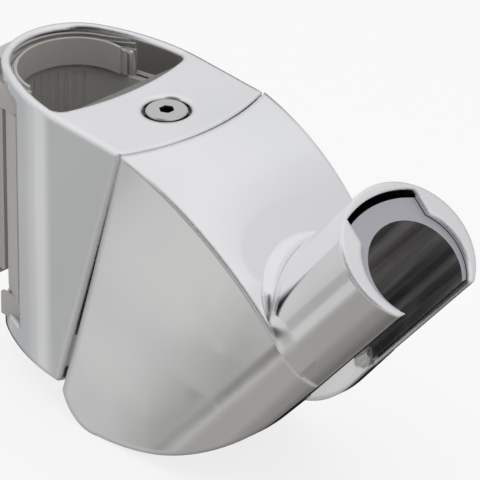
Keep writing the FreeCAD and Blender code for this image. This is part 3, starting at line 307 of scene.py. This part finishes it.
wall = tube_root.modifiers.new("wall", "SOLIDIFY")
wall.thickness = ROOT_WALL
wall.offset = -1.0
bpy.ops.object.modifier_apply(modifier=wall.name)
bpy.ops.object.shade_smooth_by_angle(angle=SMOOTH_UNDER)
tube_root.data.materials.append(chrome)
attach(tube_root, "holder")

# Cradle seat: a C-shaped liner of glossy grey plastic that grips the handset's cone.
# Its end faces are matt and its bore is shiny. It is one plastic throughout: the faces looking out
# of the mouth are painted pale as lit, and the bore is painted dark as shaded, with painted
# reflection streaks along it.
LINER_BORE_PAINTED_SHADE = (0.075, 0.073, 0.076)
LINER_END_PAINTED_LIGHT = (0.44, 0.43, 0.47)
PAINTED_BORE_SHADE = (0.06, 0.057, 0.058)
PAINTED_STREAK_REFLECTION = (0.25, 0.24, 0.235)
REFLECTION_STREAK_FINENESS = 260.0
REFLECTION_STREAK_STRETCH = 0.03
FACES_MOUTH = (0.85, 0.95)
liner = new_finish("liner_plastic", LINER_BORE_PAINTED_SHADE, 0.0, 0.18)
tree = liner.node_tree
surface = tree.nodes.new("ShaderNodeNewGeometry")
facing = tree.nodes.new("ShaderNodeVectorMath")
facing.operation = "DOT_PRODUCT"
facing.inputs[1].default_value = CRADLE_AXIS
tree.links.new(surface.outputs["Normal"], facing.inputs[0])
# Painted light and shade: faces that look out of the mouth get the pale lit colour, the rest the
# dark shaded one.
painted_light_share = between(liner, facing.outputs["Value"], 0.0, 1.0, *FACES_MOUTH)
painted_light_and_shade = tint(liner, painted_light_share, LINER_BORE_PAINTED_SHADE, LINER_END_PAINTED_LIGHT)
place = tree.nodes.new("ShaderNodeTexCoord")
turned = tree.nodes.new("ShaderNodeMapping")
turned.inputs["Rotation"].default_value = (-CRADLE_TILT, 0, 0)
along_bore_stretch = tree.nodes.new("ShaderNodeMapping")
along_bore_stretch.inputs["Scale"].default_value = (1, 1, REFLECTION_STREAK_STRETCH)
# Painted shade and reflection: noise stretched along the bore mixes a dark shaded tone with pale
# reflection streaks.
painted_reflection_streaks = tree.nodes.new("ShaderNodeTexNoise")
painted_reflection_streaks.inputs["Scale"].default_value = REFLECTION_STREAK_FINENESS
tree.links.new(place.outputs["Object"], turned.inputs["Vector"])
tree.links.new(turned.outputs["Vector"], along_bore_stretch.inputs["Vector"])
tree.links.new(along_bore_stretch.outputs["Vector"], painted_reflection_streaks.inputs["Vector"])
painted_reflection_mix = tree.nodes.new("ShaderNodeMix")
painted_reflection_mix.data_type = "RGBA"
painted_reflection_mix.inputs["A"].default_value = PAINTED_BORE_SHADE + (1.0,)
painted_reflection_mix.inputs["B"].default_value = PAINTED_STREAK_REFLECTION + (1.0,)
painted_reflection_share = between(liner, painted_reflection_streaks.outputs["Fac"], 0.0, 1.0, 0.42, 0.66)
tree.links.new(painted_reflection_share, painted_reflection_mix.inputs["Factor"])
tree.links.new(painted_reflection_mix.outputs["Result"], painted_light_and_shade.inputs["A"])
to_shader(liner, between(liner, facing.outputs["Value"], 0.14, 0.45, *FACES_MOUTH), "Roughness")
relief(liner, patches(liner, 250.0, 2.0), 0.00002)
dress("cradle_seat", liner)
dress("seat_retainer", acetal)

# Holder bracket: a nylon plate screwed into the hood's rear, with the hinge's lugs and the toe.
# It is the same moulding stock as the inner carrier.
dress("holder_bracket", nylon)

# Release yoke and brake shoe: one acetal moulding round the rail, pinned to the shoe in front.
# The flutes inside it keep it from sticking to a wet rail.
dress("release_yoke", acetal)
dress("brake_shoe", acetal)

# Yoke cheeks: the thin upright walls at the yoke's upper and lower corners, beside the guide
# rings' ends. They are moulded with the yoke, close the window there, and have slots inside.
CHEEK_INSIDE = 0.0144
CHEEK_WALL = 0.001
CHEEK_FRONT = -0.0016
CHEEK_BACK = 0.008
CHEEK_RISE = 0.0056
CHEEK_SLOTS = 4
CHEEK_CORNER = 0.00008
SLOT_DEPTH = 0.0004
SLOT_MARGIN = 1 / 8
yoke_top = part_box("release_yoke")[1][2]
for hand, side in (("left", -1), ("right", 1)):
    for level, upright in (("upper", 1), ("lower", -1)):
        bpy.ops.object.select_all(action="DESELECT")
        bpy.ops.mesh.primitive_cube_add(
            size=1.0,
            location=(
                side * (CHEEK_INSIDE + CHEEK_WALL / 2),
                (CHEEK_FRONT + CHEEK_BACK) / 2,
                upright * (yoke_top + CHEEK_RISE / 2),
            ),
            scale=(CHEEK_WALL, CHEEK_BACK - CHEEK_FRONT, CHEEK_RISE),
        )
        cheek = bpy.context.active_object
        cheek.name = "yoke_cheek_" + hand + "_" + level
        bpy.ops.object.transform_apply(location=True, rotation=True, scale=True)
        bpy.ops.object.mode_set(mode="EDIT")
        bpy.ops.mesh.select_all(action="DESELECT")
        form = bmesh.from_edit_mesh(cheek.data)
        for edge in form.edges:
            run = edge.verts[1].co - edge.verts[0].co
            edge.select = abs(run.normalized().y) > IN_LINE
        bpy.ops.mesh.subdivide(number_cuts=2 * CHEEK_SLOTS)
        bpy.ops.mesh.select_all(action="DESELECT")
        pitch = (CHEEK_BACK - CHEEK_FRONT) / (2 * CHEEK_SLOTS + 1)
        for face in form.faces:
            column = int((face.calc_center_median().y - CHEEK_FRONT) / pitch)
            inward = face.normal.x * side < -IN_LINE
            face.select = inward and column % 2 == 1
        bpy.ops.mesh.inset(
            thickness=pitch * SLOT_MARGIN, depth=-SLOT_DEPTH, use_individual=True
        )
        bpy.ops.object.mode_set(mode="OBJECT")
        corners = cheek.modifiers.new("corners", "BEVEL")
        corners.width = CHEEK_CORNER
        corners.segments = 2
        corners.limit_method = "ANGLE"
        bpy.ops.object.modifier_apply(modifier=corners.name)
        bpy.ops.object.shade_smooth_by_angle(angle=SMOOTH_UNDER)
        cheek.data.materials.append(acetal)
        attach(cheek, "release")

# Grip pad: the ribbed piece under the finger, in a warm pale plastic with a fine spark finish.
grip = new_finish("grip_plastic", (0.62, 0.58, 0.555), 0.0, 0.48)
spark = patches(grip, 1400.0, 3.0)
to_shader(grip, between(grip, spark, 0.4, 0.58), "Roughness")
tint(grip, patches(grip, 80.0), (0.59, 0.55, 0.525), (0.65, 0.61, 0.585))
relief(grip, spark, 0.000025)
dress("grip_pad", grip)

# Brake lining: a strip of black rubber bonded to the shoe, which bites on the rail.
rubber = new_finish("brake_rubber", (0.03, 0.03, 0.03), 0.0, 0.75)
crumb = patches(rubber, 900.0, 4.0)
to_shader(rubber, between(rubber, crumb, 0.65, 0.9), "Roughness")
tint(rubber, crumb, (0.02, 0.02, 0.02), (0.045, 0.045, 0.045))
relief(rubber, crumb, 0.00003)
dress("brake_lining", rubber)

# Floor: a plain pale sheet, which shows white and keeps the object's shadow.
# The chrome doesn't mirror it, but the soft greys of the studio round it.
FLOOR_GAP = 0.0003
FLOOR_SIZE = 8.0
FLOOR_COLOUR = (0.86, 0.86, 0.86)
FLOOR_WHITE = 0.8
bpy.ops.object.select_all(action="DESELECT")
bpy.ops.mesh.primitive_plane_add(size=FLOOR_SIZE, location=(0, 0, cad_low[2] - FLOOR_GAP))
floor = bpy.context.active_object
floor.name = "floor"
floor.visible_glossy = False
paper = new_finish("floor_paper", FLOOR_COLOUR, 0.0, 0.9)
tree = paper.node_tree
light_path = tree.nodes.new("ShaderNodeLightPath")
seen = tree.nodes.new("ShaderNodeMath")
seen.operation = "MAXIMUM"
seen_through = tree.nodes.new("ShaderNodeMath")
seen_through.operation = "MAXIMUM"
white_share = tree.nodes.new("ShaderNodeMath")
white_share.operation = "MULTIPLY"
white_share.inputs[1].default_value = FLOOR_WHITE
glow = tree.nodes.new("ShaderNodeEmission")
floor_mix = tree.nodes.new("ShaderNodeMixShader")
tree.links.new(light_path.outputs["Is Camera Ray"], seen.inputs[0])
tree.links.new(light_path.outputs["Is Glossy Ray"], seen.inputs[1])
tree.links.new(seen.outputs["Value"], seen_through.inputs[0])
tree.links.new(light_path.outputs["Is Transmission Ray"], seen_through.inputs[1])
tree.links.new(seen_through.outputs["Value"], white_share.inputs[0])
tree.links.new(white_share.outputs["Value"], floor_mix.inputs["Fac"])
tree.links.new(tree.nodes["Principled BSDF"].outputs["BSDF"], floor_mix.inputs[1])
tree.links.new(glow.outputs["Emission"], floor_mix.inputs[2])
tree.links.new(floor_mix.outputs["Shader"], tree.nodes["Material Output"].inputs["Surface"])
floor.data.materials.append(paper)

# Studio: pale above, soft grey at the sides and warmer grey below. Dark flags give the chrome
# its dark lines, and grey panels its soft bands. Each is a patch of the wall in one direction:
# azimuth, elevation, the angles where it is full and where it ends, and its colour.
world = bpy.data.worlds.new("studio")
bpy.context.scene.world = world
world.use_nodes = True
tree = world.node_tree
ray = tree.nodes.new("ShaderNodeTexCoord")
parts = tree.nodes.new("ShaderNodeSeparateXYZ")
tree.links.new(ray.outputs["Generated"], parts.inputs["Vector"])
height = tree.nodes.new("ShaderNodeMapRange")
height.inputs["From Min"].default_value = -1.0
height.inputs["From Max"].default_value = 1.0
tree.links.new(parts.outputs["Z"], height.inputs["Value"])
WALL = [
    (0.0, (0.150, 0.142, 0.132)),
    (0.03, (0.27, 0.26, 0.245)),
    (0.09, (0.385, 0.372, 0.355)),
    (0.18, (0.48, 0.475, 0.46)),
    (0.245, (0.548, 0.548, 0.54)),
    (0.37, (0.635, 0.635, 0.635)),
    (0.5, (0.69, 0.69, 0.70)),
    (0.675, (0.74, 0.74, 0.755)),
    (0.85, (0.86, 0.86, 0.875)),
]
wall_tones = tree.nodes.new("ShaderNodeValToRGB")
wall_tones.color_ramp.interpolation = "EASE"
tree.links.new(height.outputs["Result"], wall_tones.inputs["Fac"])
for number, (position, colour) in enumerate(WALL):
    if number < 2:
        stop = wall_tones.color_ramp.elements[number]
        stop.position = position
    else:
        stop = wall_tones.color_ramp.elements.new(position)
    stop.color = colour + (1.0,)

PANELS = [
    (50, -38, 11, 27, (0.012, 0.012, 0.014)),
    (40, -8, 8, 20, (0.02, 0.02, 0.024)),
    (196, 34, 22, 34, (0.012, 0.012, 0.014)),
    (214, 14, 20, 32, (0.012, 0.012, 0.014)),
    (334, 38, 0, 32, (0.73, 0.73, 0.74)),
    (94, -31, 4, 13, (0.45, 0.46, 0.47)),
    (135, -35.5, 2.0, 8.0, (0.62, 0.62, 0.61)),
    (128, -28.5, 3.0, 6.5, (0.44, 0.455, 0.44)),
    (116, -30, 2.0, 5.0, (0.63, 0.64, 0.64)),
    (150, -50, 5, 14, (0.37, 0.36, 0.345)),
    (150, -22, 8, 16, (0.12, 0.115, 0.11)),
    (68, -14, 4, 12, (0.62, 0.64, 0.68)),
]
studio_colour = wall_tones.outputs["Color"]
for azimuth, elevation, full, end, shade in PANELS:
    turn, rise = math.radians(azimuth), math.radians(elevation)
    toward = (math.cos(turn) * math.cos(rise), math.sin(turn) * math.cos(rise), math.sin(rise))
    along = tree.nodes.new("ShaderNodeVectorMath")
    along.operation = "DOT_PRODUCT"
    along.inputs[1].default_value = toward
    tree.links.new(ray.outputs["Generated"], along.inputs[0])
    inside = tree.nodes.new("ShaderNodeMapRange")
    inside.interpolation_type = "SMOOTHSTEP"
    inside.inputs["From Min"].default_value = math.cos(math.radians(end))
    inside.inputs["From Max"].default_value = math.cos(math.radians(full))
    tree.links.new(along.outputs["Value"], inside.inputs["Value"])
    mix = tree.nodes.new("ShaderNodeMix")
    mix.data_type = "RGBA"
    mix.inputs["B"].default_value = shade + (1.0,)
    tree.links.new(inside.outputs["Result"], mix.inputs["Factor"])
    tree.links.new(studio_colour, mix.inputs["A"])
    studio_colour = mix.outputs["Result"]
tree.links.new(studio_colour, tree.nodes["Background"].inputs["Color"])

# Lamp: one large soft box above the front left, which only the plastics and the floor show.
LAMP_PLACE = (-0.5, -0.3, 1.0)
LAMP_SIZE = 0.9
LAMP_POWER = 3.0
bpy.ops.object.light_add(type="AREA", location=LAMP_PLACE)
lamp = bpy.context.active_object
lamp.data.size = LAMP_SIZE
lamp.data.energy = LAMP_POWER
lamp.visible_glossy = False
lamp.rotation_euler = (-lamp.location).to_track_quat("-Z", "Y").to_euler()

# Camera: where the photograph was taken from, a long lens well above the part.
CAMERA_AIM = Vector((0.0069, -0.0458, 0.0046))
CAMERA_PLACE = Vector((-0.96706, -1.13640, 0.87715))
FILM_WIDTH = 36.0
LENS = 594.7
bpy.ops.object.camera_add(location=CAMERA_PLACE)
camera = bpy.context.active_object
camera.rotation_euler = (CAMERA_AIM - CAMERA_PLACE).to_track_quat("-Z", "Y").to_euler()
camera.data.sensor_width = FILM_WIDTH
camera.data.lens = LENS
bpy.context.scene.camera = camera
bpy.context.scene.view_settings.view_transform = "Standard"
